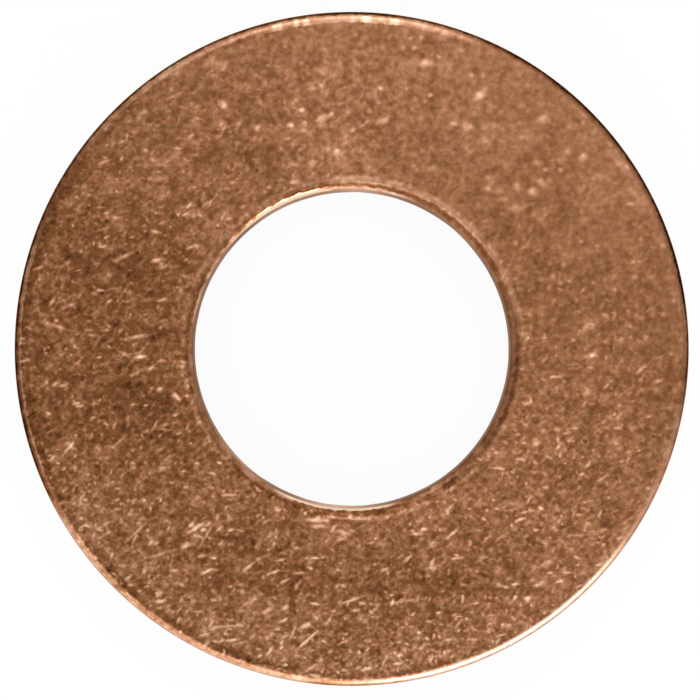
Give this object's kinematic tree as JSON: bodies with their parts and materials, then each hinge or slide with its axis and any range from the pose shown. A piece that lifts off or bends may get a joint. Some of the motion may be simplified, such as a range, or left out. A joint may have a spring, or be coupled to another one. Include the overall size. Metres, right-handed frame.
{
  "type": "copper crush washer",
  "caption": "Flat copper sealing washer with a wide ring and edges rolled on its upper face; clamped between a fitting and its seat, the soft metal crushes to seal the joint.",
  "frame": {"origin": "centre of the lower face, on the bore axis", "axes": "+Z along the bore axis, from the lower face to the rolled upper face; +X and +Y lie in the lower face"},
  "size_m": [0.015, 0.015, 0.0015],
  "materials": {
    "copper": null
  },
  "bodies": {
    "root": {"washer": "copper"}
  },
  "joints": []
}
